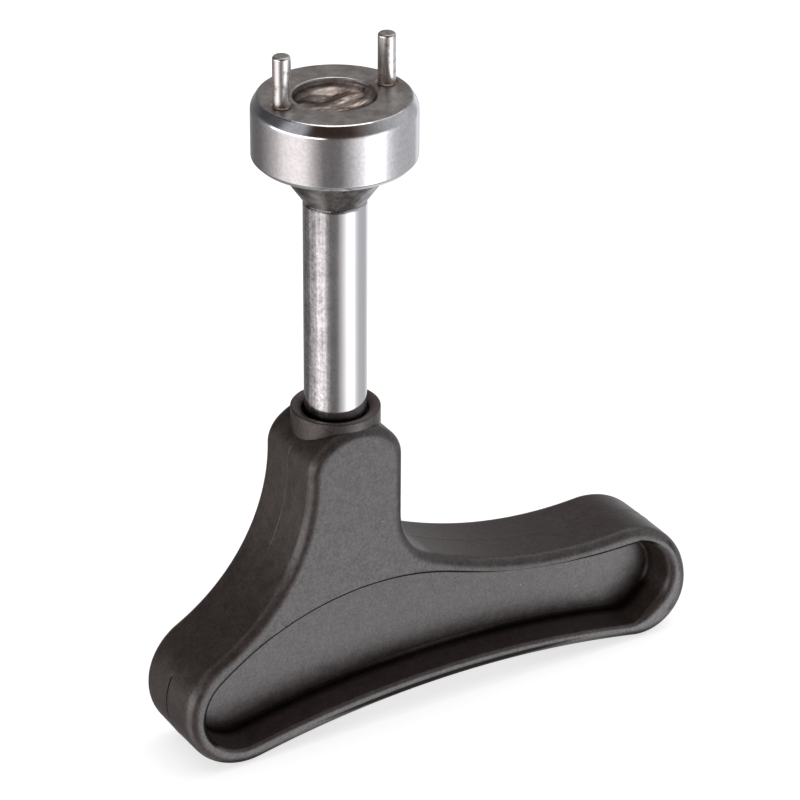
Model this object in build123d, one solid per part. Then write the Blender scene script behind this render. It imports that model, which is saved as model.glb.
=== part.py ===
from build123d import *
import os
from math import hypot

# Two-pin face wrench: a moulded pistol-style handle, a plated steel shaft, a
# plated driver head and two drive pins. Millimetres, +Z up along the shaft,
# +X along the long arm of the handle. The origin is the centre of the flat
# drive face, so everything but the pins' free ends is below Z = 0.

# --- drive pins -------------------------------------------------------------
PIN_R = 1.13
PIN_CIRCLE_D = 14.64
PIN_STICK_OUT = 6.55
PIN_DEPTH = 5.6
PIN_TIP_R = 0.35
PIN_SHANK_R = 1.0
PIN_LEAD_IN = 0.2
PIN_SHOULDER_CHAMFER = 0.12

# --- driver head ------------------------------------------------------------
DRUM_R = 10.3
DRUM_H = 8.5
DRUM_BEVEL_IN = 0.75
DRUM_BEVEL_DOWN = 1.2
DRUM_UNDER_CHAMFER = 0.6
CONE_TOP_R = 7.7
CONE_BOTTOM_R = 3.85
CONE_H = 5.5
RECESS_R = 5.2
RECESS_DEPTH = 1.4
RECESS_DISH = 0.5
RECESS_MID_R = 2.6
RECESS_MID_RISE = 0.13
RECESS_RIM_CHAMFER = 0.12
PIN_SEAT_R = 1.5
PIN_SEAT_DEPTH = 0.15

# --- shaft ------------------------------------------------------------------
SHAFT_R = 4.0
SHAFT_TOP_CHAMFER = 0.2
SPIGOT_R = 2.5
SPIGOT_L = 8.0
SHAFT_BURIED = 20.3
ANCHOR_FLAT_Y = 3.1
ANCHOR_FLAT_L = 10.0
ANCHOR_FOOT_L = 4.0
SHAFT_END_CHAMFER = 0.6

# --- handle -----------------------------------------------------------------
# Heights in the handle's outline are measured up from its lowest points.
HANDLE_T = 12.6
HANDLE_EDGE_R = 1.5
FACE_ABOVE_BASE = 87.9
NECK_X = -0.2
NECK_HALF_W = 6.9
NECK_SHOULDER = 39.2
NECK_TOP = 44.65
NECK_CORNER_R = 4.6
COLLAR_R = 5.75
COLLAR_TOP = 45.5
COLLAR_LIP = 0.35
COLLAR_DISH = 0.25
BACK_LOBE_X = -16.3
BACK_LOBE_R = 8.8
FRONT_LOBE_X = 45.1
FRONT_LOBE_R = 7.0
ARCH_RISE = 3.05
CROWN_TOP = 17.6
CROWN_R = 10.5
ARM_HOLLOW_R = 60.0
ARM_LOW_X = 36.5
ARMPIT_R = 8.4

# --- hollow in each side of the handle ----------------------------------------
POCKET_DEPTH = 4.9
POCKET_DRAFT = 6.0
POCKET_FLOOR_R = 0.8
POCKET_BASE = 2.55
POCKET_ARCH_TOP = 5.5
POCKET_BACK_X = -16.6
POCKET_BACK_R = 6.0
POCKET_FRONT_X = 43.4
POCKET_FRONT_R = 6.4
POCKET_CROWN_X = 2.65
POCKET_CROWN_TOP = 21.4
POCKET_ARM_R = 82.0


def ring_cut(radius, depth):
    """A short cylinder that reaches down from Z = 0."""
    return Cylinder(radius, depth, align=(Align.CENTER, Align.CENTER, Align.MAX))


def touch(one, other, inside=False):
    """The point where two tangent circles (x, z, radius) meet."""
    x1, z1, r1 = one
    x2, z2, r2 = other
    share = r1 / (r1 - r2) if inside else r1 / (r1 + r2)
    return (x1 + (x2 - x1) * share, z1 + (z2 - z1) * share)


def arc_on(circle, start, end):
    """The shorter arc of a circle (x, z, radius) between two of its points."""
    x, z, r = circle
    mid = ((start[0] + end[0]) / 2 - x, (start[1] + end[1]) / 2 - z)
    scale = r / hypot(*mid)
    return ThreePointArc(start, (x + mid[0] * scale, z + mid[1] * scale), end)


def hollow_under(back, front, top):
    """The arc that touches two level-based circles and peaks between them."""
    x1, z1, r1 = back
    x2, z2, r2 = front
    k1 = (z1 - top) ** 2 - r1**2
    k2 = (z2 - top) ** 2 - r2**2
    x = (x2**2 - x1**2 + k2 - k1) / (2 * (x2 - x1))
    radius = ((x1 - x) ** 2 + k1) / (2 * (top - z1 + r1))
    return (x, top - radius, radius)


def hollow_over(one, other, radius):
    """The circle above two others that touches both from outside."""
    x1, z1, r1 = one
    x2, z2, r2 = other
    gap = hypot(x2 - x1, z2 - z1)
    along = ((r1 + radius) ** 2 - (r2 + radius) ** 2 + gap**2) / (2 * gap)
    up = ((r1 + radius) ** 2 - along**2) ** 0.5
    ux = (x2 - x1) / gap
    uz = (z2 - z1) / gap
    return (x1 + ux * along - uz * up, z1 + uz * along + ux * up, radius)


def outer_outline():
    """The handle's side profile in the XZ plane, heights above its base."""
    left = NECK_X - NECK_HALF_W
    right = NECK_X + NECK_HALF_W
    back_lobe = (BACK_LOBE_X, BACK_LOBE_R, BACK_LOBE_R)
    front_lobe = (FRONT_LOBE_X, FRONT_LOBE_R, FRONT_LOBE_R)
    arch = hollow_under(back_lobe, front_lobe, ARCH_RISE)
    # The neck's rounded top is a flat arc between two tighter corners.
    inset = NECK_HALF_W - NECK_CORNER_R
    height = NECK_TOP - NECK_SHOULDER
    cap_r = (inset**2 + height**2 - NECK_CORNER_R**2) / (2 * (height - NECK_CORNER_R))
    cap = (NECK_X, NECK_TOP - cap_r, cap_r)
    corner_back = (left + NECK_CORNER_R, NECK_SHOULDER, NECK_CORNER_R)
    corner_front = (right - NECK_CORNER_R, NECK_SHOULDER, NECK_CORNER_R)
    # The back is one hollow arc from the neck's side to the back lobe.
    span = left - BACK_LOBE_X
    rise = NECK_SHOULDER - BACK_LOBE_R
    back_r = (span**2 + rise**2 - BACK_LOBE_R**2) / (2 * (span + BACK_LOBE_R))
    back = (left - back_r, NECK_SHOULDER, back_r)
    # The front lobe swells upward into a wider arc.
    crown_z = CROWN_TOP - CROWN_R
    crown_dx = ((CROWN_R - FRONT_LOBE_R) ** 2 - (FRONT_LOBE_R - crown_z) ** 2) ** 0.5
    crown = (FRONT_LOBE_X - crown_dx, crown_z, CROWN_R)
    # The arm's top is a long hollow arc, with a tighter one at the armpit.
    arm_dz = ((ARM_HOLLOW_R + CROWN_R) ** 2 - (crown[0] - ARM_LOW_X) ** 2) ** 0.5
    arm = (ARM_LOW_X, crown_z + arm_dz, ARM_HOLLOW_R)
    pit_x = right + ARMPIT_R
    pit_dz = ((ARM_HOLLOW_R - ARMPIT_R) ** 2 - (ARM_LOW_X - pit_x) ** 2) ** 0.5
    pit = (pit_x, arm[1] - pit_dz, ARMPIT_R)

    shoulder_back = (left, NECK_SHOULDER)
    shoulder_front = (right, NECK_SHOULDER)
    cap_back = touch(corner_back, cap, inside=True)
    cap_front = touch(corner_front, cap, inside=True)
    pit_start = (right, pit[1])
    pit_end = touch(pit, arm, inside=True)
    arm_end = touch(arm, crown)
    crown_end = touch(front_lobe, crown, inside=True)
    front_low = touch(front_lobe, arch)
    back_low = touch(back_lobe, arch)
    back_high = touch(back_lobe, back)
    back_tip = (BACK_LOBE_X - BACK_LOBE_R, BACK_LOBE_R)
    return [
        arc_on(corner_back, shoulder_back, cap_back),
        arc_on(cap, cap_back, cap_front),
        arc_on(corner_front, cap_front, shoulder_front),
        Line(shoulder_front, pit_start),
        arc_on(pit, pit_start, pit_end),
        arc_on(arm, pit_end, arm_end),
        arc_on(crown, arm_end, crown_end),
        arc_on(front_lobe, crown_end, front_low),
        arc_on(arch, front_low, back_low),
        ThreePointArc(back_low, back_tip, back_high),
        arc_on(back, back_high, shoulder_back),
    ]


def pocket_outline():
    """The mouth of the hollow in each side of the handle."""
    back = (POCKET_BACK_X, POCKET_BASE + POCKET_BACK_R, POCKET_BACK_R)
    front = (POCKET_FRONT_X, POCKET_BASE + POCKET_FRONT_R, POCKET_FRONT_R)
    arch = hollow_under(back, front, POCKET_ARCH_TOP)
    span = POCKET_CROWN_X - back[0]
    drop = POCKET_CROWN_TOP - back[1]
    crown_r = (span**2 + drop**2 - POCKET_BACK_R**2) / (2 * (drop - POCKET_BACK_R))
    crown = (POCKET_CROWN_X, POCKET_CROWN_TOP - crown_r, crown_r)
    arm = hollow_over(crown, front, POCKET_ARM_R)
    crown_start = touch(back, crown, inside=True)
    crown_end = touch(crown, arm)
    arm_end = touch(arm, front)
    front_low = touch(front, arch)
    back_low = touch(back, arch)
    return [
        arc_on(crown, crown_start, crown_end),
        arc_on(arm, crown_end, arm_end),
        ThreePointArc(arm_end, (front[0] + front[2], front[1]), front_low),
        arc_on(arch, front_low, back_low),
        ThreePointArc(back_low, (back[0] - back[2], back[1]), crown_start),
    ]


def side_face(edges, y):
    """A flat face with the given XZ outline at Y = y, facing -Y."""
    return Plane.XZ.offset(-y) * -Face(Wire(edges))


def make_pocket():
    """The drafted space of the hollow in the handle's +Y side."""
    mouth = side_face(pocket_outline(), HANDLE_T / 2)
    space = extrude(mouth, amount=POCKET_DEPTH, taper=POCKET_DRAFT)
    return fillet(space.faces().sort_by(Axis.Y)[0].edges(), POCKET_FLOOR_R)


def make_shaft():
    top = -(DRUM_H + CONE_H)
    length = top + FACE_ABOVE_BASE - COLLAR_TOP + SHAFT_BURIED
    rod = Pos(0, 0, top) * ring_cut(SHAFT_R, length)
    rod = chamfer(rod.edges().group_by(Axis.Z)[-1], SHAFT_TOP_CHAMFER)
    rod = chamfer(rod.edges().group_by(Axis.Z)[0], SHAFT_END_CHAMFER)
    spigot = Pos(0, 0, top + SPIGOT_L) * ring_cut(SPIGOT_R, SPIGOT_L)
    rod += spigot
    flat_top = top - length + ANCHOR_FOOT_L + ANCHOR_FLAT_L
    block = Box(2 * SHAFT_R, SHAFT_R, ANCHOR_FLAT_L, align=(Align.CENTER, Align.MIN, Align.MAX))
    flat_cut = Pos(0, ANCHOR_FLAT_Y, flat_top) * block
    return rod - flat_cut - mirror(flat_cut, about=Plane.XZ)


def make_pin(side):
    """A shouldered pin: its free end stands on its seat, its shank is pressed in."""
    free = Pos(0, 0, PIN_STICK_OUT) * ring_cut(PIN_R, PIN_STICK_OUT + PIN_SEAT_DEPTH)
    free = fillet(free.edges().group_by(Axis.Z)[-1], PIN_TIP_R)
    free = chamfer(free.edges().group_by(Axis.Z)[0], PIN_SHOULDER_CHAMFER)
    shank = Pos(0, 0, -PIN_SEAT_DEPTH) * ring_cut(PIN_SHANK_R, PIN_DEPTH - PIN_SEAT_DEPTH)
    shank = chamfer(shank.edges().group_by(Axis.Z)[0], PIN_LEAD_IN)
    return Pos(side * PIN_CIRCLE_D / 2, 0, 0) * (free + shank)


def make_driver_head():
    chamfer_z = -DRUM_H + DRUM_UNDER_CHAMFER
    bottom = -(DRUM_H + CONE_H)
    dish = -(RECESS_DEPTH + RECESS_DISH)
    profile = make_face(
        Polyline(
            (0, dish),
            (RECESS_MID_R, dish + RECESS_MID_RISE),
            (RECESS_R, -RECESS_DEPTH),
            (RECESS_R, -RECESS_RIM_CHAMFER),
            (RECESS_R + RECESS_RIM_CHAMFER, 0),
            (DRUM_R - DRUM_BEVEL_IN, 0),
            (DRUM_R, -DRUM_BEVEL_DOWN),
            (DRUM_R, chamfer_z),
            (DRUM_R - DRUM_UNDER_CHAMFER, -DRUM_H),
            (CONE_TOP_R, -DRUM_H),
            (CONE_BOTTOM_R, bottom),
            (0, bottom),
            (0, dish),
        )
    )
    head = revolve(Plane.XZ * profile, Axis.Z, 360)
    head -= Pos(0, 0, bottom + SPIGOT_L) * ring_cut(SPIGOT_R, SPIGOT_L)
    for side in (-1, 1):
        x = side * PIN_CIRCLE_D / 2
        head -= Pos(x, 0, 0) * ring_cut(PIN_SEAT_R, PIN_SEAT_DEPTH)
        head -= make_pin(side)
    return head


def make_handle(shaft):
    body = extrude(side_face(outer_outline(), 0), amount=HANDLE_T / 2, both=True)
    sides = body.faces().sort_by(Axis.Y)
    body = fillet(sides[0].edges() + sides[-1].edges(), HANDLE_EDGE_R)
    body += Pos(0, 0, COLLAR_TOP) * ring_cut(COLLAR_R, COLLAR_TOP - NECK_SHOULDER)
    body -= Pos(0, 0, COLLAR_TOP) * Cone(
        SHAFT_R, COLLAR_R - COLLAR_LIP, COLLAR_DISH, align=(Align.CENTER, Align.CENTER, Align.MAX)
    )
    pocket = make_pocket()
    body -= pocket
    body -= mirror(pocket, about=Plane.XZ)
    return Pos(0, 0, -FACE_ABOVE_BASE) * body - shaft


def main():
    os.makedirs("parts", exist_ok=True)
    shaft = make_shaft()
    nodes = {
        "handle": make_handle(shaft),
        "shaft": shaft,
        "driver_head": make_driver_head(),
        "drive_pin_left": make_pin(-1),
        "drive_pin_right": make_pin(1),
    }
    for name, shape in nodes.items():
        export_step(shape, f"parts/{name}.step")


main()
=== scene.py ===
import math

import bmesh
import bpy
from mathutils import Matrix, Vector
from mathutils import noise as perlin

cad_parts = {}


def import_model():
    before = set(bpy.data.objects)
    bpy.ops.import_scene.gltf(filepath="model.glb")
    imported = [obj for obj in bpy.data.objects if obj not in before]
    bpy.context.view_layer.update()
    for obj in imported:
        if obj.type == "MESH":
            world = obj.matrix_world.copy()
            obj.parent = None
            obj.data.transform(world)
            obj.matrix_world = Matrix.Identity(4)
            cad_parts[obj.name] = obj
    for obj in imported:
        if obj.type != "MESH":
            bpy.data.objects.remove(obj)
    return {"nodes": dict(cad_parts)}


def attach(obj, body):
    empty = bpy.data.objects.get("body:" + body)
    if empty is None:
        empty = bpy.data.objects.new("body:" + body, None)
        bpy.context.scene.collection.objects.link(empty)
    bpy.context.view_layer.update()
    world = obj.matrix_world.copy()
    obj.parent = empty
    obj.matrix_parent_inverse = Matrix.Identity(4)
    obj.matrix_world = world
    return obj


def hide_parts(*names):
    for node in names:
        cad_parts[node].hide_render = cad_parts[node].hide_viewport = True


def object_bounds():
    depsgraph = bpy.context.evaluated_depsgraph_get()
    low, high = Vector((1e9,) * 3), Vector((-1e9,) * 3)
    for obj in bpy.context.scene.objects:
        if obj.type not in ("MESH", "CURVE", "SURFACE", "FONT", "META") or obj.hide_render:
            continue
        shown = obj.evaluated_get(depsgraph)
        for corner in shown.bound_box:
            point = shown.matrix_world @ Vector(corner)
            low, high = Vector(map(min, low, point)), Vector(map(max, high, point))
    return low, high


MM = 0.001

# The camera, in metres and degrees, in the part's frame.
CAMERA_AT = (-0.197572, -0.342192, 0.168890)
CAMERA_HEADING = 31.184
CAMERA_DOWN = 28.073
CAMERA_ROLL = 0.415
CAMERA_LENS = 159.46

# Handle, in millimetres. Heights are measured up from the handle's base.
BASE_Z = -87.9
HALF_T = 6.3
EDGE_R = 1.5
NECK_X = -0.2
NECK_HALF_W = 6.9
NECK_SHOULDER = 39.2
NECK_TOP = 44.65
NECK_CORNER_R = 4.6
COLLAR_R = 5.75
COLLAR_TOP = 45.5
BACK_LOBE = (-16.3, 8.8, 8.8)
FRONT_LOBE = (45.1, 7.0, 7.0)
ARCH_RISE = 3.05
CROWN_TOP = 17.6
CROWN_R = 10.5
ARM_HOLLOW_R = 60.0
ARM_LOW_X = 36.5
ARMPIT_R = 8.4
POCKET_DEPTH = 4.9
POCKET_SLOPE = math.tan(math.radians(6.0))
POCKET_FLOOR_R = 0.45
POCKET_BACK = (-16.6, 8.55, 6.0)
POCKET_FRONT = (43.4, 8.95, 6.4)
POCKET_ARCH_TOP = 5.5
POCKET_CROWN_X = 2.65
POCKET_CROWN_TOP = 21.4
POCKET_ARM_R = 82.0
RIM_SOFT_R = 0.55
RIM_CRISP_R = 0.42
RIM_END_R = 1.25
RIM_END_SPAN = 4.0
SEAM_HEIGHT = 0.03
SEAM_HALF_W = 0.11
SEAM_GAPE = 0.45
WALL_DRAFT = math.tan(math.radians(0.6))
WALL_LEVELS = (-3.6, -2.4, -1.2, -0.5, -0.22)
COLLAR_LIP = 0.35
COLLAR_BURIED = 6.0
DISH_DEPTH = 0.85
SOCKET_DEPTH = 20.3

# Where the seam is split, in degrees round the back lobe, and how fast it opens.
SPLIT_FROM = 152
SPLIT_FROM_FADE = 8
SPLIT_TO = 200
SPLIT_TO_FADE = 10

# Shaft, driver head and pins, in millimetres down from the drive face.
SHAFT_R = 4.0
DRUM_R = 10.3
DRUM_H = 8.5
DRUM_BEVEL_DOWN = 1.3
DRUM_UNDER_CHAMFER = 0.7
FACE_R = 9.5
RECESS_R = 5.2
RECESS_WALL_H = 1.3
RECESS_DEPTH = 1.9
RECESS_FLOOR_R = 5.0
RIDGE_FADE = 0.9
RIDGE_HEIGHT = 0.36
RIDGE_GRAIN = (0.30, 0.72)
RIDGE_PLACE = (6.3, 2.2, 0.0)
CHIP_HEIGHT = 0.075
CHIP_GRAIN = (0.9, 2.4)
CHIP_PLACE = (0.0, 0.0, 3.0)
CONE_TOP_R = 7.7
CONE_BOTTOM_R = 3.85
CONE_BOTTOM = 14.0
SPIGOT_R = 2.5
SPIGOT_TOP = 6.0
PIN_X = 7.32
PIN_SHANK_R = 1.0
PIN_HOLE_DEPTH = 5.6
PIN_SEAT_R = 1.3
PIN_SEAT_DEPTH = 0.15

# Meshing: the outline's step and the ridges' ring step in millimetres, the
# distance in metres under which points are welded, steps over a quarter round
# and segments round a circle.
OUTLINE_STEP = 0.4
RIDGE_STEP = 0.15
WELD_GAP = 0.000003
EDGE_STEPS = 8
MOUTH_STEPS = 8
FLOOR_STEPS = 5
HEAD_SEGMENTS = 256
COLLAR_SEGMENTS = 160
BORE_SEGMENTS = 128
HOLE_SEGMENTS = 64

# Which way an arc of the handle's outline bends.
CONVEX = 1
CONCAVE = -1


# ---------------------------------------------------------------- mesh helpers
def touch(one, other):
    """Where two tangent circles (x, z, radius, bend) meet."""
    x1, z1, r1, bend1 = one
    x2, z2, r2, bend2 = other
    share = r1 / (r1 - r2) if bend1 == bend2 else r1 / (r1 + r2)
    return (x1 + (x2 - x1) * share, z1 + (z2 - z1) * share)


def arc_points(circle, start, end, step):
    """Points and outward normals along one arc, its end point left out."""
    x, z, r, bend = circle
    a0 = math.atan2(start[1] - z, start[0] - x)
    a1 = math.atan2(end[1] - z, end[0] - x)
    sweep = -((a0 - a1) % (2 * math.pi)) if bend == CONVEX else (a1 - a0) % (2 * math.pi)
    count = max(2, math.ceil(abs(sweep) * r / step))
    found = []
    for i in range(count):
        a = a0 + sweep * i / count
        c, s = math.cos(a), math.sin(a)
        found.append((x + r * c, z + r * s, bend * c, bend * s))
    return found


def line_points(start, end, normal, step):
    count = max(2, math.ceil(math.dist(start, end) / step))
    return [
        (
            start[0] + (end[0] - start[0]) * i / count,
            start[1] + (end[1] - start[1]) * i / count,
            *normal,
        )
        for i in range(count)
    ]


def hollow_under(back, front, top):
    """The circle that touches two level-based circles and peaks between them."""
    x1, z1, r1 = back
    x2, z2, r2 = front
    k1 = (z1 - top) ** 2 - r1**2
    k2 = (z2 - top) ** 2 - r2**2
    x = (x2**2 - x1**2 + k2 - k1) / (2 * (x2 - x1))
    radius = ((x1 - x) ** 2 + k1) / (2 * (top - z1 + r1))
    return (x, top - radius, radius, CONCAVE)


def hollow_over(one, other, radius):
    """The circle above two others that touches both from outside."""
    x1, z1, r1 = one[:3]
    x2, z2, r2 = other[:3]
    gap = math.hypot(x2 - x1, z2 - z1)
    along = ((r1 + radius) ** 2 - (r2 + radius) ** 2 + gap**2) / (2 * gap)
    up = math.sqrt((r1 + radius) ** 2 - along**2)
    ux = (x2 - x1) / gap
    uz = (z2 - z1) / gap
    return (x1 + ux * along - uz * up, z1 + uz * along + ux * up, radius, CONCAVE)


def handle_outline():
    """The handle's side profile as (x, z, normal x, normal z), clockwise."""
    left = NECK_X - NECK_HALF_W
    right = NECK_X + NECK_HALF_W
    back_lobe = (*BACK_LOBE, CONVEX)
    front_lobe = (*FRONT_LOBE, CONVEX)
    arch = hollow_under(BACK_LOBE, FRONT_LOBE, ARCH_RISE)
    inset = NECK_HALF_W - NECK_CORNER_R
    height = NECK_TOP - NECK_SHOULDER
    cap_r = (inset**2 + height**2 - NECK_CORNER_R**2) / (2 * (height - NECK_CORNER_R))
    cap = (NECK_X, NECK_TOP - cap_r, cap_r, CONVEX)
    corner_back = (left + NECK_CORNER_R, NECK_SHOULDER, NECK_CORNER_R, CONVEX)
    corner_front = (right - NECK_CORNER_R, NECK_SHOULDER, NECK_CORNER_R, CONVEX)
    span = left - BACK_LOBE[0]
    rise = NECK_SHOULDER - BACK_LOBE[1]
    back_r = (span**2 + rise**2 - BACK_LOBE[2] ** 2) / (2 * (span + BACK_LOBE[2]))
    back = (left - back_r, NECK_SHOULDER, back_r, CONCAVE)
    crown_z = CROWN_TOP - CROWN_R
    lobe_r = FRONT_LOBE[2]
    crown_dx = math.sqrt((CROWN_R - lobe_r) ** 2 - (lobe_r - crown_z) ** 2)
    crown = (FRONT_LOBE[0] - crown_dx, crown_z, CROWN_R, CONVEX)
    arm_dz = math.sqrt((ARM_HOLLOW_R + CROWN_R) ** 2 - (crown[0] - ARM_LOW_X) ** 2)
    arm = (ARM_LOW_X, crown_z + arm_dz, ARM_HOLLOW_R, CONCAVE)
    pit_x = right + ARMPIT_R
    pit_dz = math.sqrt((ARM_HOLLOW_R - ARMPIT_R) ** 2 - (ARM_LOW_X - pit_x) ** 2)
    pit = (pit_x, arm[1] - pit_dz, ARMPIT_R, CONCAVE)
    shoulder_back = (left, NECK_SHOULDER)
    shoulder_front = (right, NECK_SHOULDER)
    pit_start = (right, pit[1])
    points = arc_points(corner_back, shoulder_back, touch(corner_back, cap), OUTLINE_STEP)
    points += arc_points(cap, touch(corner_back, cap), touch(cap, corner_front), OUTLINE_STEP)
    points += arc_points(corner_front, touch(cap, corner_front), shoulder_front, OUTLINE_STEP)
    points += line_points(shoulder_front, pit_start, (1.0, 0.0), OUTLINE_STEP)
    chain = [pit, arm, crown, front_lobe, arch, back_lobe, back]
    joints = [pit_start] + [touch(a, b) for a, b in zip(chain, chain[1:])] + [shoulder_back]
    for circle, start, end in zip(chain, joints, joints[1:]):
        points += arc_points(circle, start, end, OUTLINE_STEP)
    return points


def smooth_step(t):
    t = min(1.0, max(0.0, t))
    return t * t * (3 - 2 * t)


def pocket_outline():
    """The hollow's mouth as (x, z, normal x, normal z, edge radius), clockwise."""
    back = (*POCKET_BACK, CONVEX)
    front = (*POCKET_FRONT, CONVEX)
    arch = hollow_under(POCKET_BACK, POCKET_FRONT, POCKET_ARCH_TOP)
    span = POCKET_CROWN_X - back[0]
    drop = POCKET_CROWN_TOP - back[1]
    crown_r = (span**2 + drop**2 - back[2] ** 2) / (2 * (drop - back[2]))
    crown = (POCKET_CROWN_X, POCKET_CROWN_TOP - crown_r, crown_r, CONVEX)
    arm = hollow_over(crown, front, POCKET_ARM_R)
    chain = [crown, arm, front, arch, back]
    joints = [touch(a, b) for a, b in zip([back] + chain, chain + [crown])]
    points = []
    for circle, start, end in zip(chain, joints, joints[1:]):
        points += arc_points(circle, start, end, OUTLINE_STEP)
    found = []
    for x, z, nx, nz in points:
        # The edge is crisp where the wall faces down, soft elsewhere and widest at
        # the far end, where the wall stands further in and the mouth stays.
        soft = smooth_step((0.35 - nz) / 0.5)
        edge_r = RIM_CRISP_R + (RIM_SOFT_R - RIM_CRISP_R) * soft
        wider = (RIM_END_R - edge_r) * smooth_step((x - POCKET_FRONT[0]) / RIM_END_SPAN)
        found.append((x - nx * wider, z - nz * wider, nx, nz, edge_r + wider))
    return found


def ring(points, inset, y):
    """One ring of mesh points: the outline moved inward, at depth y."""
    return [
        (
            (p[0] - p[2] * inset(p)) * MM,
            y(p) * MM,
            (p[1] - p[3] * inset(p) + BASE_Z) * MM,
        )
        for p in points
    ]


def add_rings(mesh, rings):
    """Joins closed rings of equal count by quads and returns their vertices."""
    made = [[mesh.verts.new(co) for co in points] for points in rings]
    for one, other in zip(made, made[1:]):
        for i in range(len(one)):
            j = (i + 1) % len(one)
            mesh.faces.new((one[i], one[j], other[j], other[i]))
    return made


def loop_edges(mesh, verts):
    return [mesh.edges.get((a, b)) for a, b in zip(verts, verts[1:] + verts[:1])]


def wall_rings(outline):
    """Rings round the handle's outside from its front face to its back face."""
    rings = []
    flat = HALF_T - EDGE_R

    def level(y):
        return SEAM_HEIGHT + abs(y) * WALL_DRAFT

    for i in range(EDGE_STEPS + 1):
        a = math.pi / 2 * i / EDGE_STEPS
        inset = level(flat) + EDGE_R * (1 - math.sin(a))
        y = -flat - EDGE_R * math.cos(a)
        rings.append((lambda p, v=inset: v, lambda p, v=y: v))
    for y in WALL_LEVELS:
        rings.append((lambda p, v=level(y): v, lambda p, v=y: v))
    rings.append((lambda p: level(0.1), lambda p: -SEAM_HALF_W))
    rings.append((lambda p: seam_inset(p) * 0.5 + level(0) * 0.5, lambda p: -SEAM_HALF_W / 2))
    rings.append((seam_inset, lambda p: 0.0))
    mirrored = [(inset, lambda p, y=y: -y(p)) for inset, y in reversed(rings[:-1])]
    return [ring(outline, inset, y) for inset, y in rings + mirrored]


def seam_inset(p):
    """The moulding seam stands a little proud, and gapes at the back lobe."""
    x, z, r = BACK_LOBE
    angle = math.degrees(math.atan2(p[1] - z, p[0] - x)) % 360
    opening = smooth_step((angle - SPLIT_FROM) / SPLIT_FROM_FADE)
    gape = opening * smooth_step((SPLIT_TO - angle) / SPLIT_TO_FADE)
    on_lobe = math.hypot(p[0] - x, p[1] - z) < r + 0.1
    return SEAM_GAPE * gape if on_lobe else 0.0


def pocket_rings(outline, side):
    """Rings from the edge of one side's hollow down to its floor."""
    rings = []
    for i in range(MOUTH_STEPS + 1):
        a = math.pi / 2 * i / MOUTH_STEPS
        s = 1 - math.sin(a)
        c = 1 - math.cos(a)
        rings.append(
            (
                lambda p, s=s, c=c: -p[4] * s + p[4] * c * POCKET_SLOPE,
                lambda p, c=c: side * (HALF_T - p[4] * c),
            )
        )
    wall_end = POCKET_DEPTH - POCKET_FLOOR_R
    for share in (0.35, 0.7):
        rings.append(
            (
                lambda p, t=share: (p[4] + (wall_end - p[4]) * t) * POCKET_SLOPE,
                lambda p, t=share: side * (HALF_T - p[4] - (wall_end - p[4]) * t),
            )
        )
    for i in range(FLOOR_STEPS + 1):
        a = math.pi / 2 * i / FLOOR_STEPS
        inset = wall_end * POCKET_SLOPE + POCKET_FLOOR_R * (1 - math.cos(a))
        y = side * (HALF_T - wall_end - POCKET_FLOOR_R * math.sin(a))
        rings.append((lambda p, v=inset: v, lambda p, v=y: v))
    return [ring(outline, inset, y) for inset, y in rings]


def new_object(name, mesh):
    data = bpy.data.meshes.new(name)
    mesh.to_mesh(data)
    mesh.free()
    made = bpy.data.objects.new(name, data)
    bpy.context.scene.collection.objects.link(made)
    return made


def revolve(name, profile, segments, at=(0.0, 0.0)):
    """A solid of revolution about Z from (radius, height) points in millimetres."""
    mesh = bmesh.new()
    rings = []
    for r, z in profile:
        if r < 1e-6:
            rings.append([mesh.verts.new((at[0] * MM, at[1] * MM, z * MM))])
            continue
        points = []
        for i in range(segments):
            a = 2 * math.pi * i / segments
            x = (at[0] + r * math.cos(a)) * MM
            y = (at[1] + r * math.sin(a)) * MM
            points.append(mesh.verts.new((x, y, z * MM)))
        rings.append(points)
    for one, other in zip(rings, rings[1:]):
        for i in range(segments):
            j = (i + 1) % segments
            near = [one[i % len(one)], one[j % len(one)]]
            far = [other[j % len(other)], other[i % len(other)]]
            unique = list(dict.fromkeys(near + far))
            if len(unique) > 2:
                mesh.faces.new(unique)
    bmesh.ops.recalc_face_normals(mesh, faces=mesh.faces)
    return new_object(name, mesh)


def rounded(corners, steps=5):
    """A (radius, height) profile from (radius, height, fillet radius) corners."""
    points = []
    for i, (x, z, r) in enumerate(corners):
        if r == 0:
            points.append((x, z))
            continue
        here = Vector((x, z))
        back = (Vector(corners[i - 1][:2]) - here).normalized()
        ahead = (Vector(corners[i + 1][:2]) - here).normalized()
        half = back.angle(ahead) / 2
        reach = r / math.tan(half)
        centre = here + (back + ahead).normalized() * (r / math.sin(half))
        start = here + back * reach - centre
        end = here + ahead * reach - centre
        turn = start.angle_signed(end)
        for k in range(steps + 1):
            a = -turn * k / steps
            c, s = math.cos(a), math.sin(a)
            points.append((centre.x + start.x * c - start.y * s, centre.y + start.x * s + start.y * c))
    return points


def combine(target, tool, operation):
    """Cuts or joins tool into target for good, and removes tool."""
    modifier = target.modifiers.new("combine", "BOOLEAN")
    modifier.operation = operation
    modifier.object = tool
    modifier.solver = "EXACT"
    apply_modifiers(target)
    bpy.data.objects.remove(tool)


def apply_modifiers(target):
    graph = bpy.context.evaluated_depsgraph_get()
    data = bpy.data.meshes.new_from_object(target.evaluated_get(graph))
    target.modifiers.clear()
    target.data = data


def weld(target):
    """Joins points that the cuts left almost on top of each other."""
    mesh = bmesh.new()
    mesh.from_mesh(target.data)
    bmesh.ops.remove_doubles(mesh, verts=mesh.verts, dist=WELD_GAP)
    bmesh.ops.dissolve_degenerate(mesh, edges=mesh.edges, dist=WELD_GAP)
    mesh.to_mesh(target.data)
    mesh.free()


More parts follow.
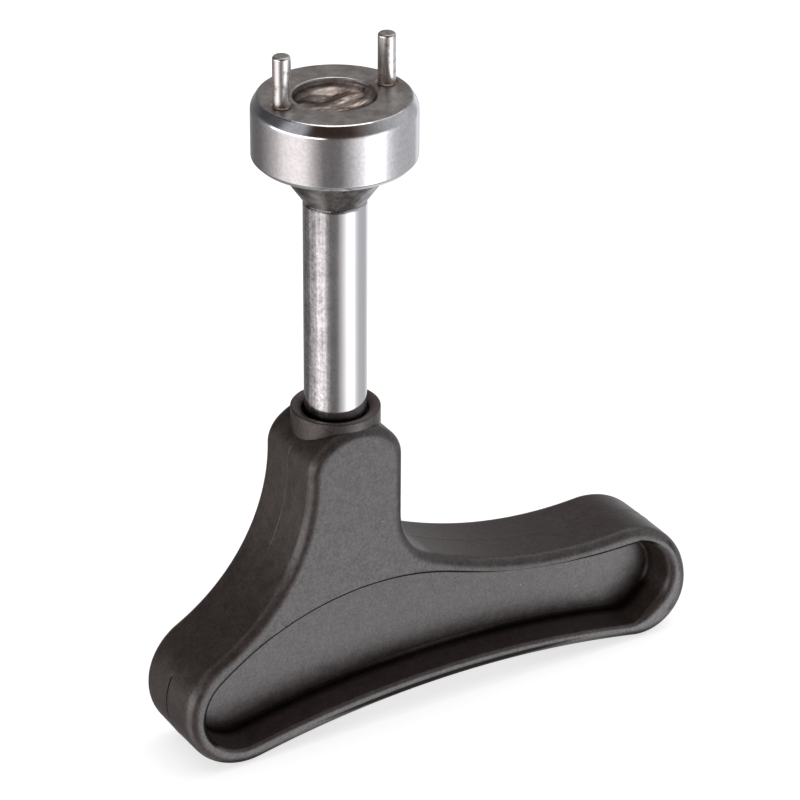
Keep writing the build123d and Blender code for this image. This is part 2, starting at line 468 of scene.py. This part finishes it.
def shade(target, angle=32.0):
    """Smooth shading with crisp edges where faces meet at more than the angle."""
    weld(target)
    data = target.data
    data.shade_smooth()
    data.set_sharp_from_angle(angle=math.radians(angle))
    modifier = target.modifiers.new("normals", "WEIGHTED_NORMAL")
    modifier.keep_sharp = True
    modifier.weight = 80
    apply_modifiers(target)


# ---------------------------------------------------------------------- pieces
def make_handle():
    mesh = bmesh.new()
    outside = add_rings(mesh, wall_rings(handle_outline()))
    mouth = pocket_outline()
    for side, rim in ((-1, outside[0]), (1, outside[-1])):
        hollow = add_rings(mesh, pocket_rings(mouth, side))
        edges = loop_edges(mesh, rim) + loop_edges(mesh, hollow[0])
        bmesh.ops.triangle_fill(mesh, use_beauty=True, edges=edges, normal=(0, side, 0))
        mesh.faces.new(hollow[-1])
    bmesh.ops.recalc_face_normals(mesh, faces=mesh.faces)
    handle = new_object("handle_moulding", mesh)
    top = BASE_Z + COLLAR_TOP
    buried = BASE_Z + NECK_SHOULDER - COLLAR_BURIED
    collar = revolve(
        "collar",
        rounded(
            [
                (0, buried, 0),
                (COLLAR_R, buried, 0),
                (COLLAR_R, top, 0.22),
                (COLLAR_R - COLLAR_LIP, top, 0.2),
                (SHAFT_R + 0.35, top - 0.36, 0.3),
                (SHAFT_R + 0.1, top - DISH_DEPTH, 0),
                (0, top - DISH_DEPTH, 0),
            ]
        ),
        COLLAR_SEGMENTS,
    )
    combine(handle, collar, "UNION")
    bottom = top - SOCKET_DEPTH
    bore = [(0, bottom), (SHAFT_R, bottom), (SHAFT_R, top + 1), (0, top + 1)]
    combine(handle, revolve("bore", bore, BORE_SEGMENTS), "DIFFERENCE")
    shade(handle)
    return handle


def finer(profile, radius, step):
    """The profile with extra points wherever it runs inside the radius."""
    points = []
    for (r1, z1), (r2, z2) in zip(profile, profile[1:]):
        inside = max(r1, r2) <= radius
        count = max(1, math.ceil(math.hypot(r2 - r1, z2 - z1) / step)) if inside else 1
        for i in range(count):
            points.append((r1 + (r2 - r1) * i / count, z1 + (z2 - z1) * i / count))
    return points + [profile[-1]]


def marks(x, y, grain, place):
    """Smooth random height, stretched by the grain and started from a place."""
    return perlin.noise(Vector((x * grain[0] + place[0], y * grain[1] + place[1], place[2])))


def roughen_recess(head):
    """Gouges the recess floor in long ridges, as a blunt tool leaves it."""
    for vertex in head.data.vertices:
        x, y, z = vertex.co / MM
        if not -RECESS_DEPTH - 1.0 < z < -1.0:
            continue
        fade = smooth_step((RECESS_FLOOR_R - math.hypot(x, y)) / RIDGE_FADE)
        ridges = marks(x, y, RIDGE_GRAIN, RIDGE_PLACE)
        chips = marks(x, y, CHIP_GRAIN, CHIP_PLACE)
        vertex.co.z += fade * (ridges * RIDGE_HEIGHT + chips * CHIP_HEIGHT) * MM


def make_driver_head():
    profile = rounded(
        [
            (0, -RECESS_DEPTH, 0),
            (RECESS_R / 2, 0.1 - RECESS_DEPTH, 2.0),
            (RECESS_R - 0.05, -RECESS_WALL_H, 0.9),
            (RECESS_R, 0, 0.22),
            (FACE_R, 0, 0.45),
            (DRUM_R, -DRUM_BEVEL_DOWN, 1.7),
            (DRUM_R, DRUM_UNDER_CHAMFER - DRUM_H, 0.4),
            (DRUM_R - DRUM_UNDER_CHAMFER, -DRUM_H, 0.2),
            (CONE_TOP_R, -DRUM_H, 0.35),
            (CONE_BOTTOM_R, -CONE_BOTTOM, 0),
            (0, -CONE_BOTTOM, 0),
        ]
    )
    profile = finer(profile[:-2], RECESS_FLOOR_R, RIDGE_STEP) + profile[-2:]
    head = revolve("driver_head_turned", profile, HEAD_SEGMENTS)
    roughen_recess(head)
    pin_hole = [
        (0, -PIN_HOLE_DEPTH),
        (PIN_SHANK_R, -PIN_HOLE_DEPTH),
        (PIN_SHANK_R, -PIN_SEAT_DEPTH),
        (PIN_SEAT_R, -PIN_SEAT_DEPTH),
        (PIN_SEAT_R + 0.4, PIN_SEAT_DEPTH),
        (0, PIN_SEAT_DEPTH),
    ]
    for x in (-PIN_X, PIN_X):
        hole = revolve("pin_hole", pin_hole, HOLE_SEGMENTS, (x, 0))
        combine(head, hole, "DIFFERENCE")
    below_cone = -CONE_BOTTOM - 1
    spigot_hole = [(0, below_cone), (SPIGOT_R, below_cone), (SPIGOT_R, -SPIGOT_TOP), (0, -SPIGOT_TOP)]
    combine(head, revolve("spigot_hole", spigot_hole, HOLE_SEGMENTS), "DIFFERENCE")
    shade(head)
    return head


# ------------------------------------------------------------------- materials
def node_tree(owner):
    owner.use_nodes = True
    tree = owner.node_tree
    tree.nodes.clear()
    return tree


def add(tree, kind, inputs=None, **settings):
    """Adds a shader node, with its settings and its inputs set or linked."""
    node = tree.nodes.new(kind)
    for name, value in settings.items():
        setattr(node, name, value)
    for name, value in (inputs or {}).items():
        if isinstance(value, bpy.types.NodeSocket):
            tree.links.new(value, node.inputs[name])
        else:
            node.inputs[name].default_value = value
    return node


def ramp(tree, fac, stops, interpolation="LINEAR"):
    """A colour ramp from (position, grey or colour) stops."""
    node = add(tree, "ShaderNodeValToRGB", {"Fac": fac})
    node.color_ramp.interpolation = interpolation
    elements = node.color_ramp.elements
    while len(elements) < len(stops):
        elements.new(1.0)
    for element, (position, colour) in zip(elements, stops):
        element.position = position
        rgb = (colour,) * 3 if isinstance(colour, (int, float)) else colour
        element.color = (*rgb, 1.0)
    return node.outputs["Color"]


def calc(tree, operation, *values, clamp=False):
    inputs = dict(enumerate(values))
    return add(tree, "ShaderNodeMath", inputs, operation=operation, use_clamp=clamp).outputs[0]


def mix(tree, fac, a, b):
    """Blends two colours, given as sockets or RGB values."""
    node = add(tree, "ShaderNodeMix", data_type="RGBA")
    for socket, value in zip((node.inputs[0], node.inputs[6], node.inputs[7]), (fac, a, b)):
        if isinstance(value, bpy.types.NodeSocket):
            tree.links.new(value, socket)
        elif socket.type == "RGBA":
            socket.default_value = (*value, 1.0)
        else:
            socket.default_value = value
    return node.outputs[2]


def noise(tree, position, scale, detail=2.0, roughness=0.5, distortion=0.0):
    inputs = {"Vector": position, "Scale": scale, "Detail": detail, "Roughness": roughness}
    node = add(tree, "ShaderNodeTexNoise", inputs)
    node.inputs["Distortion"].default_value = distortion
    return node.outputs["Fac"]


def stretch(tree, value, low, high, at_low, at_high):
    """Maps low..high to at_low..at_high, held level outside."""
    ends = {0: value, 1: low, 2: high, 3: at_low, 4: at_high}
    return add(tree, "ShaderNodeMapRange", ends).outputs[0]


def below(tree, value, limit, soft):
    """1 where value is under the limit, 0 above it, with a soft step."""
    return stretch(tree, value, limit - soft, limit + soft, 1.0, 0.0)


def shade_of(tree, colour, factor):
    """The colour made darker or lighter by a plain factor."""
    node = add(tree, "ShaderNodeVectorMath", {0: colour, "Scale": factor}, operation="SCALE")
    return node.outputs[0]


def object_position(tree):
    """The shaded point in the piece's own frame, as a vector and as X, Y and Z."""
    position = add(tree, "ShaderNodeTexCoord").outputs["Object"]
    return position, add(tree, "ShaderNodeSeparateXYZ", {0: position}).outputs


def facing(tree):
    """X, Y and Z of the surface's direction in the piece's own frame."""
    normal = add(tree, "ShaderNodeTexCoord").outputs["Normal"]
    return add(tree, "ShaderNodeSeparateXYZ", {0: normal}).outputs


def leftward(tree, parts):
    """Distance from the axis towards the worn side of the plating."""
    across = calc(tree, "MULTIPLY", parts["Y"], 0.51)
    return calc(tree, "MULTIPLY_ADD", parts["X"], -0.86, across)


def finish_surface(tree, inputs):
    shader = add(tree, "ShaderNodeBsdfPrincipled", inputs)
    add(tree, "ShaderNodeOutputMaterial", {"Surface": shader.outputs[0]})


def new_material(name):
    material = bpy.data.materials.new(name)
    return material, node_tree(material)


def specks(tree, position, scale, size, share):
    """1 inside small round spots that fill only a share of the cells."""
    cells = add(tree, "ShaderNodeTexVoronoi", {"Vector": position, "Scale": scale}).outputs
    spot = ramp(tree, cells["Distance"], [(size * 0.6, 1.0), (size, 0.0)])
    pick = add(tree, "ShaderNodeSeparateColor", {0: cells["Color"]}).outputs[0]
    return calc(tree, "MULTIPLY", spot, calc(tree, "LESS_THAN", pick, share))


def collar_shade(tree, parts):
    """Painted shade on the collar's top: dark round the shaft, wider on its left, then lighter towards
    the rim.
    """
    radius = from_axis(tree, parts, 0.0)
    lean = calc(tree, "MULTIPLY_ADD", parts["X"], 0.06, calc(tree, "MULTIPLY", parts["Y"], 0.02))
    edge = calc(tree, "MULTIPLY", calc(tree, "ADD", radius, lean), 100.0)
    shade_by_radius = ramp(tree, edge, [(0.395, 0.6), (0.44, 2.0), (0.50, 3.2), (0.585, 3.4)])
    lower = below(tree, parts["Z"], (BASE_Z + NECK_SHOULDER - 3) * MM, 0.001)
    outside = stretch(tree, radius, (COLLAR_R - COLLAR_LIP) * MM, (COLLAR_R - 0.1) * MM, 0.0, 1.0)
    return mix(tree, calc(tree, "MAXIMUM", lower, outside), shade_by_radius, (1.0, 1.0, 1.0))


def hollow_edge_shade(tree, parts):
    """Painted shade: darkness of the thin line along the upper and back edge of each hollow."""
    normal = facing(tree)
    inward = calc(
        tree, "MULTIPLY_ADD", normal["X"], 0.75, calc(tree, "MULTIPLY", normal["Z"], -0.66)
    )
    line = stretch(tree, inward, 0.01, 0.10, 1.0, 0.25)
    low = below(tree, parts["Z"], (BASE_Z + 3.4) * MM, 0.0004)
    high = stretch(tree, parts["Z"], (BASE_Z + 21.6) * MM, (BASE_Z + 21.9) * MM, 0.0, 1.0)
    end = stretch(tree, parts["X"], 0.048, 0.050, 0.0, 1.0)
    middle = below(tree, calc(tree, "ABSOLUTE", parts["Y"]), (HALF_T - 0.42) * MM, 0.00002)
    elsewhere = calc(
        tree, "MAXIMUM", calc(tree, "MAXIMUM", low, high), calc(tree, "MAXIMUM", end, middle)
    )
    return calc(tree, "MAXIMUM", elsewhere, line)


def hollow_corner_shade(tree, parts):
    """Painted shade: darkness of the corner where each hollow's floor meets its lower wall."""
    upward = stretch(tree, facing(tree)["Z"], 0.02, 0.25, 0.0, 1.0)
    deep = below(tree, calc(tree, "ABSOLUTE", parts["Y"]), (HALF_T - 3.6) * MM, 0.0006)
    low = below(tree, parts["Z"], (BASE_Z + 6.2) * MM, 0.0005)
    corner = calc(tree, "MULTIPLY", upward, calc(tree, "MULTIPLY", deep, low))
    return stretch(tree, corner, 0.0, 1.0, 1.0, 0.3)


def end_wall_gloss(tree, parts):
    """Gloss of the far end of each hollow, duller than the rest."""
    backward = below(tree, facing(tree)["X"], -0.62, 0.3)
    end = stretch(tree, parts["X"], 0.042, 0.045, 0.0, 1.0)
    return stretch(tree, calc(tree, "MULTIPLY", backward, end), 0.0, 1.0, 1.0, 0.4)


def plastic_material():
    """Grained plastic, with painted shade where light can't reach, and pale specks."""
    material, tree = new_material("moulded_plastic")
    position, parts = object_position(tree)
    cloud = noise(tree, position, 110.0, 4.0)
    mottle = noise(tree, position, 620.0, 4.0, 0.6)
    grain = noise(tree, position, 2900.0, 2.0, 0.7)
    colour = mix(tree, cloud, (0.064, 0.045, 0.038), (0.084, 0.065, 0.058))
    patchy = calc(
        tree,
        "MULTIPLY",
        stretch(tree, mottle, 0.35, 0.65, 0.87, 1.13),
        stretch(tree, grain, 0.35, 0.65, 0.81, 1.19),
    )
    colour = shade_of(tree, colour, patchy)
    # Painted shade: occlusion, with the collar's and the hollows' painted shade, darkens the colour
    # and the gloss.
    nearby = add(tree, "ShaderNodeAmbientOcclusion", {"Distance": 0.0029}, samples=8)
    painted_shade = stretch(tree, nearby.outputs["AO"], 0.5, 0.82, 0.28, 1.0)
    for part_shade in (collar_shade, hollow_edge_shade, hollow_corner_shade):
        painted_shade = calc(tree, "MULTIPLY", painted_shade, part_shade(tree, parts))
    colour = shade_of(tree, colour, painted_shade)
    handled = calc(
        tree,
        "MULTIPLY",
        stretch(tree, parts["Z"], BASE_Z * MM, (BASE_Z + 18) * MM, 1.22, 1.0),
        stretch(tree, parts["X"], 0.030, 0.050, 1.0, 1.3),
    )
    handled = calc(tree, "MULTIPLY", handled, end_wall_gloss(tree, parts))
    shine = calc(tree, "POWER", painted_shade, 2.2, clamp=True)
    shine = calc(tree, "MULTIPLY", shine, calc(tree, "MULTIPLY", patchy, handled))
    colour = mix(tree, specks(tree, position, 330.0, 0.04, 0.5), colour, (0.42, 0.40, 0.39))
    rough = ramp(tree, mottle, [(0.3, 0.30), (0.7, 0.40)])
    relief = calc(tree, "MULTIPLY_ADD", mottle, 1.5, grain)
    bump = add(tree, "ShaderNodeBump", {"Height": relief, "Strength": 0.3, "Distance": 0.00008})
    finish_surface(
        tree,
        {
            "Base Color": colour,
            "Roughness": rough,
            "Normal": bump.outputs[0],
            "Specular IOR Level": shine,
        },
    )
    return material


def from_axis(tree, parts, x):
    """Distance from the upright line through x."""
    across = calc(tree, "SUBTRACT", parts["X"], x)
    squares = calc(tree, "MULTIPLY_ADD", across, across, calc(tree, "POWER", parts["Y"], 2.0))
    return calc(tree, "SQRT", squares)


def plating(tree, position, worn):
    """Roughness and normal of bright plating, cloudy and finely pitted where worn is 1."""
    cloud = noise(tree, position, 260.0, 4.0)
    worn_rough = stretch(tree, cloud, 0.35, 0.65, 0.09, 0.2)
    rough = mix(tree, worn, (0.075,) * 3, worn_rough)
    patches = ramp(tree, noise(tree, position, 190.0, 3.0), [(0.46, 0.0), (0.6, 1.0)])
    pits = calc(tree, "MULTIPLY", specks(tree, position, 1500.0, 0.35, 0.3), patches)
    pits = calc(tree, "MULTIPLY", pits, worn)
    waves = noise(tree, position, 150.0, 1.0)
    height = calc(tree, "MULTIPLY_ADD", pits, -0.1, waves)
    bump = add(tree, "ShaderNodeBump", {"Height": height, "Strength": 0.5, "Distance": 0.00009})
    return rough, bump.outputs[0]


def shaft_material():
    """Bright plating with fine lengthwise polishing lines and a dull grainy side."""
    material, tree = new_material("plated_shaft")
    position, parts = object_position(tree)
    side = stretch(tree, leftward(tree, parts), -0.0008, 0.0018, 0.0, 1.0)
    side = calc(tree, "MULTIPLY", side, stretch(tree, parts["Y"], 0.0005, 0.0030, 1.0, 0.2))
    rough, normal = plating(tree, position, side)
    stretched = add(
        tree, "ShaderNodeMapping", {"Vector": position, "Scale": (1700.0, 1700.0, 40.0)}
    ).outputs[0]
    lines = noise(tree, stretched, 1.0, 3.0, 0.6)
    grain = noise(tree, position, 1900.0, 3.0, 0.75)
    blotch = noise(tree, position, 420.0, 3.0, 0.6)
    dull = calc(
        tree,
        "MULTIPLY",
        stretch(tree, grain, 0.35, 0.62, 0.62, 1.12),
        stretch(tree, blotch, 0.35, 0.62, 0.70, 1.05),
    )
    dull = calc(tree, "MULTIPLY", dull, stretch(tree, lines, 0.38, 0.6, 0.72, 1.2))
    colour = mix(tree, side, (0.84, 0.83, 0.84), shade_of(tree, (0.84, 0.835, 0.85), dull))
    ragged = calc(tree, "MULTIPLY_ADD", blotch, 0.0022, parts["Z"])
    foot = below(tree, ragged, (BASE_Z + COLLAR_TOP + 0.55) * MM, 0.0003)
    colour = mix(tree, foot, colour, (0.22, 0.19, 0.18))
    relief = calc(tree, "MULTIPLY", calc(tree, "ADD", lines, grain), side)
    bump = add(
        tree,
        "ShaderNodeBump",
        {"Height": relief, "Strength": 0.4, "Distance": 0.00005, "Normal": normal},
    )
    finish_surface(
        tree,
        {"Base Color": colour, "Metallic": 1.0, "Roughness": rough, "Normal": bump.outputs[0]},
    )
    return material


def pin_material():
    """Ground pins, satin and a little stained."""
    material, tree = new_material("plated_pin")
    position, parts = object_position(tree)
    smudge = noise(tree, position, 900.0, 4.0, 0.65)
    stain = ramp(tree, smudge, [(0.36, (0.60, 0.53, 0.50)), (0.48, (0.99, 0.97, 0.96))])
    foot = below(tree, parts["Z"], 0.0006, 0.0005)
    colour = mix(tree, foot, stain, (0.42, 0.34, 0.30))
    rough = ramp(tree, smudge, [(0.3, 0.27), (0.7, 0.17)])
    finish_surface(tree, {"Base Color": colour, "Metallic": 1.0, "Roughness": rough})
    return material


def head_zones(tree, parts):
    """Masks of the drive face, the recess, the cone and the bevel."""
    radius = from_axis(tree, parts, 0.0)
    depth = calc(tree, "MULTIPLY", parts["Z"], -1.0)
    shallow = below(tree, depth, 0.0002, 0.00002)
    face = calc(tree, "MULTIPLY", shallow, below(tree, radius, (FACE_R - 0.1) * MM, 0.0001))
    within = below(tree, radius, (RECESS_R - 0.02) * MM, 0.00004)
    recess = calc(tree, "MULTIPLY", within, below(tree, depth, 0.004, 0.0005))
    cone = below(tree, parts["Z"], (-DRUM_H - 0.1) * MM, 0.0001)
    beyond_face = below(tree, calc(tree, "MULTIPLY", radius, -1.0), -FACE_R * MM, 0.0001)
    above_drum = below(tree, depth, DRUM_BEVEL_DOWN * MM, 0.0004)
    return face, recess, cone, calc(tree, "MULTIPLY", beyond_face, above_drum)


def pin_stain(tree, parts, smudge):
    """Share of the dark stain round the foot of each pin."""
    to_pin = [from_axis(tree, parts, side * PIN_X * MM) for side in (-1, 1)]
    nearest = calc(tree, "MINIMUM", *to_pin)
    patches = ramp(tree, smudge, [(0.3, 1.0), (0.6, 0.35)])
    return calc(tree, "MULTIPLY", below(tree, nearest, 0.0019, 0.0007), patches)


def tarnish_and_shade(tree, streak, left):
    """Brown and bright streaks of the recess, with painted shade darkening it towards its left wall.
    """
    stops = [
        (0.34, (0.14, 0.10, 0.088)),
        (0.44, (0.42, 0.335, 0.295)),
        (0.53, (0.78, 0.67, 0.60)),
        (0.62, (0.95, 0.87, 0.80)),
    ]
    tarnish = ramp(tree, streak, stops)
    return shade_of(tree, tarnish, stretch(tree, left, -0.001, 0.0045, 0.76, 0.20))


def bevel_reflection_tint(tree, left):
    """Colour of the bevel, a painted reflection: grey at the sides, browned at the front and bluish at
    the left.
    """
    stops = [
        (0.2, (0.80, 0.80, 0.83)),
        (0.38, (0.50, 0.40, 0.36)),
        (0.56, (0.50, 0.39, 0.35)),
        (0.68, (0.74, 0.77, 0.83)),
    ]
    return ramp(tree, calc(tree, "MULTIPLY_ADD", left, 50.0, 0.5), stops)


def head_material():
    """Plated wall, satin drive face, rough dark recess and a dulled cone."""
    material, tree = new_material("plated_head")
    position, parts = object_position(tree)
    face, recess, cone, bevel = head_zones(tree, parts)
    left = leftward(tree, parts)
    worn = stretch(tree, left, -0.004, 0.006, 0.15, 1.0)
    plate_rough, plate_normal = plating(tree, position, worn)
    stretched = add(
        tree, "ShaderNodeMapping", {"Vector": position, "Scale": (170.0, 520.0, 400.0)}
    ).outputs[0]
    streak = noise(tree, stretched, 1.0, 6.0, 0.62, 0.2)
    smudge = noise(tree, position, 420.0, 4.0, 0.6)
    fine = noise(tree, position, 2200.0, 2.0, 0.7)
    face_colour = ramp(
        tree, smudge, [(0.36, (0.45, 0.43, 0.415)), (0.62, (0.72, 0.70, 0.675))]
    )
    face_colour = mix(tree, pin_stain(tree, parts, smudge), face_colour, (0.26, 0.20, 0.175))
    cone_colour = ramp(
        tree,
        smudge,
        [(0.36, (0.12, 0.11, 0.11)), (0.47, (0.34, 0.32, 0.31)), (0.6, (0.55, 0.52, 0.50))],
    )
    # The bevel's colour is a painted reflection.
    colour = mix(tree, bevel, (0.80, 0.79, 0.80), bevel_reflection_tint(tree, left))
    colour = mix(tree, face, colour, face_colour)
    colour = mix(tree, cone, colour, cone_colour)
    colour = mix(tree, recess, colour, tarnish_and_shade(tree, streak, left))
    colour = shade_of(tree, colour, ramp(tree, fine, [(0.3, 0.88), (0.7, 1.1)]))
    rough = plate_rough
    for zone, value in ((face, 0.34), (cone, 0.26), (recess, 0.42)):
        rough = mix(tree, zone, rough, (value,) * 3)
    gouges = add(
        tree,
        "ShaderNodeBump",
        {
            "Height": calc(tree, "MULTIPLY", streak, recess),
            "Strength": 0.9,
            "Distance": 0.00013,
            "Normal": plate_normal,
        },
    )
    finish_surface(
        tree,
        {"Base Color": colour, "Metallic": 1.0, "Roughness": rough, "Normal": gouges.outputs[0]},
    )
    return material


def dress(piece, material):
    piece.data.materials.clear()
    piece.data.materials.append(material)


# -------------------------------------------------------------- light and view
# The studio as bands: a compass heading in degrees, 0 along +Y and 90 along +X, a
# brightness, and how much redder than blue it is. LOW_BANDS is near and under the
# horizon: a bright soft box at 152, a weaker one at 267 and dark walls between.
LOW_BANDS = [
    (0, 0.17, 0.03),
    (38, 0.50, 0.0),
    (48, 0.80, -0.03),
    (62, 0.80, -0.03),
    (70, 0.52, -0.03),
    (90, 0.49, -0.03),
    (112, 0.52, -0.02),
    (124, 0.68, -0.02),
    (134, 1.00, -0.02),
    (141, 1.80, -0.03),
    (163, 1.80, -0.03),
    (170, 1.10, 0.0),
    (181, 0.72, 0.0),
    (190, 0.46, 0.01),
    (202, 0.19, 0.03),
    (214, 0.15, 0.04),
    (226, 0.19, 0.04),
    (238, 0.48, 0.04),
    (250, 0.94, 0.04),
    (262, 1.10, 0.04),
    (284, 0.94, 0.04),
    (294, 0.62, 0.04),
    (304, 0.44, 0.04),
    (316, 0.28, 0.04),
    (332, 0.15, 0.04),
    (350, 0.14, 0.04),
    (360, 0.17, 0.03),
]
HIGH_BANDS = [
    (0, 0.15, 0.05),
    (31, 0.20, 0.05),
    (70, 0.34, 0.0),
    (98, 0.52, -0.02),
    (131, 0.42, -0.02),
    (168, 0.20, -0.01),
    (185, 0.07, 0.12),
    (211, 0.05, 0.25),
    (244, 0.05, 0.20),
    (258, 0.42, 0.03),
    (280, 0.46, 0.03),
    (294, 0.10, 0.0),
    (330, 0.05, 0.05),
    (360, 0.15, 0.05),
]
UNDER_GLOW = 0.4
OVERHEAD_STRIP = 1.1
OVERHEAD_HEADING = math.radians(74)
LEVEL_STRIP = 3.0

# The floor, its own lamp and the driver head's own lamp, in metres and watts.
RIM_LIGHT_AT = (0.05, 0.05, 0.6)
RIM_LIGHT_SIZE = 0.5
RIM_LIGHT_POWER = 1.3
FLOOR_LIGHT_UP = 1.2
FLOOR_LIGHT_SIZE = 1.6
FLOOR_LIGHT_POWER = 4.5
FLOOR_SIZE = 6.0
FLOOR_GLOW = 0.72


def band_colours(bands):
    return [(a / 360, (v * (1.01 + w), v * 0.985, v * (1.01 - 0.6 * w))) for a, v, w in bands]


def overhead_strip(tree, parts):
    """1 in a narrow lamp that runs from overhead down towards one side."""
    east = math.sin(OVERHEAD_HEADING)
    north = math.cos(OVERHEAD_HEADING)
    sideways = calc(tree, "MULTIPLY", parts["Y"], -east)
    across = calc(tree, "ABSOLUTE", calc(tree, "MULTIPLY_ADD", parts["X"], north, sideways))
    onward = calc(tree, "MULTIPLY", parts["Y"], north)
    forward = calc(tree, "MULTIPLY_ADD", parts["X"], east, onward)
    high = stretch(tree, parts["Z"], 0.5, 0.6, 0, 1)
    inside = calc(tree, "MULTIPLY", below(tree, across, 0.10, 0.06), high)
    return calc(tree, "MULTIPLY", inside, stretch(tree, forward, -0.3, -0.2, 0, 1))


def level_strip(tree, parts, heading):
    """1 in a thin level lamp behind the left side, seen only in rounded edges."""
    inside = below(tree, calc(tree, "ABSOLUTE", parts["Z"]), 0.09, 0.04)
    sector = ramp(tree, heading, [(0.61, 0.0), (0.64, 1.0), (0.82, 1.0), (0.85, 0.0)])
    return calc(tree, "MULTIPLY", inside, sector)


def make_world():
    world = bpy.data.worlds.new("studio")
    tree = node_tree(world)
    direction = add(tree, "ShaderNodeTexCoord").outputs["Generated"]
    parts = add(tree, "ShaderNodeSeparateXYZ", {0: direction}).outputs
    turn = calc(tree, "ARCTAN2", parts["X"], parts["Y"])
    heading = calc(tree, "FRACT", calc(tree, "MULTIPLY", turn, 1 / (2 * math.pi)))
    low = ramp(tree, heading, band_colours(LOW_BANDS))
    high = ramp(tree, heading, band_colours(HIGH_BANDS))
    height = calc(tree, "MULTIPLY_ADD", parts["Z"], 0.5, 0.5)
    upward = ramp(tree, height, [(0.42, 0.0), (0.62, 1.0)], "EASE")
    downward = ramp(tree, height, [(0.03, 1.0), (0.12, 0.0)], "EASE")
    around = mix(tree, downward, mix(tree, upward, low, high), (UNDER_GLOW,) * 3)
    around = mix(tree, overhead_strip(tree, parts), around, (OVERHEAD_STRIP,) * 3)
    around = mix(tree, level_strip(tree, parts, heading), around, (LEVEL_STRIP,) * 3)
    seen = add(tree, "ShaderNodeLightPath").outputs["Is Camera Ray"]
    shown = mix(tree, seen, around, (0.93, 0.93, 0.93))
    background = add(tree, "ShaderNodeBackground", {"Color": shown, "Strength": 1.0})
    add(tree, "ShaderNodeOutputWorld", {"Surface": background.outputs[0]})
    bpy.context.scene.world = world


def make_camera():
    heading = math.radians(CAMERA_HEADING)
    down = math.radians(CAMERA_DOWN)
    ahead = Vector((math.sin(heading), math.cos(heading), 0)) * math.cos(down)
    look = ahead - Vector((0, 0, math.sin(down)))
    right = Vector((math.cos(heading), -math.sin(heading), 0))
    turn = Matrix((right, right.cross(look), -look)).transposed()
    turn = turn @ Matrix.Rotation(math.radians(CAMERA_ROLL), 3, "Z")
    data = bpy.data.cameras.new("camera")
    data.lens = CAMERA_LENS
    data.sensor_width = 36.0
    data.clip_start = 0.01
    camera = bpy.data.objects.new("camera", data)
    camera.matrix_world = Matrix.Translation(CAMERA_AT) @ turn.to_4x4()
    bpy.context.scene.collection.objects.link(camera)
    bpy.context.scene.camera = camera


def make_floor(height):
    bpy.ops.mesh.primitive_plane_add(size=FLOOR_SIZE, location=(0, 0, height))
    floor = bpy.context.object
    floor.name = "floor"
    material = bpy.data.materials.new("floor")
    tree = node_tree(material)
    shader = add(
        tree,
        "ShaderNodeBsdfPrincipled",
        {
            "Base Color": (0.9, 0.9, 0.9, 1),
            "Roughness": 0.9,
            "Emission Color": (1, 1, 1, 1),
            "Emission Strength": FLOOR_GLOW,
        },
    )
    add(tree, "ShaderNodeOutputMaterial", {"Surface": shader.outputs[0]})
    floor.data.materials.append(material)
    floor.visible_glossy = False
    floor.visible_diffuse = False
    return floor


def light_from_above(name, target, place, size, power):
    """A soft box that faces down and lights the target alone."""
    data = bpy.data.lights.new(name, "AREA")
    data.size = size
    data.energy = power
    light = bpy.data.objects.new(name, data)
    light.location = place
    bpy.context.scene.collection.objects.link(light)
    lit = bpy.data.collections.new(name + "_only")
    lit.objects.link(target)
    light.light_linking.receiver_collection = lit


def main():
    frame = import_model()
    cad_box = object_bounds()
    nodes = frame["nodes"]
    make_camera()
    make_world()
    floor = make_floor(cad_box[0].z)
    over_floor = (cad_box[0] + cad_box[1]) / 2 + Vector((0, 0, FLOOR_LIGHT_UP))
    light_from_above("floor_light", floor, over_floor, FLOOR_LIGHT_SIZE, FLOOR_LIGHT_POWER)
    plastic = plastic_material()
    handle = make_handle()
    dress(handle, plastic)
    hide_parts("handle")
    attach(handle, "root")
    head = make_driver_head()
    dress(head, head_material())
    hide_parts("driver_head")
    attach(head, "root")
    dress(nodes["shaft"], shaft_material())
    pin_plating = pin_material()
    for name in ("drive_pin_left", "drive_pin_right"):
        dress(nodes[name], pin_plating)
    light_from_above("rim_light", head, RIM_LIGHT_AT, RIM_LIGHT_SIZE, RIM_LIGHT_POWER)
    bpy.context.scene.view_settings.view_transform = "Standard"


main()
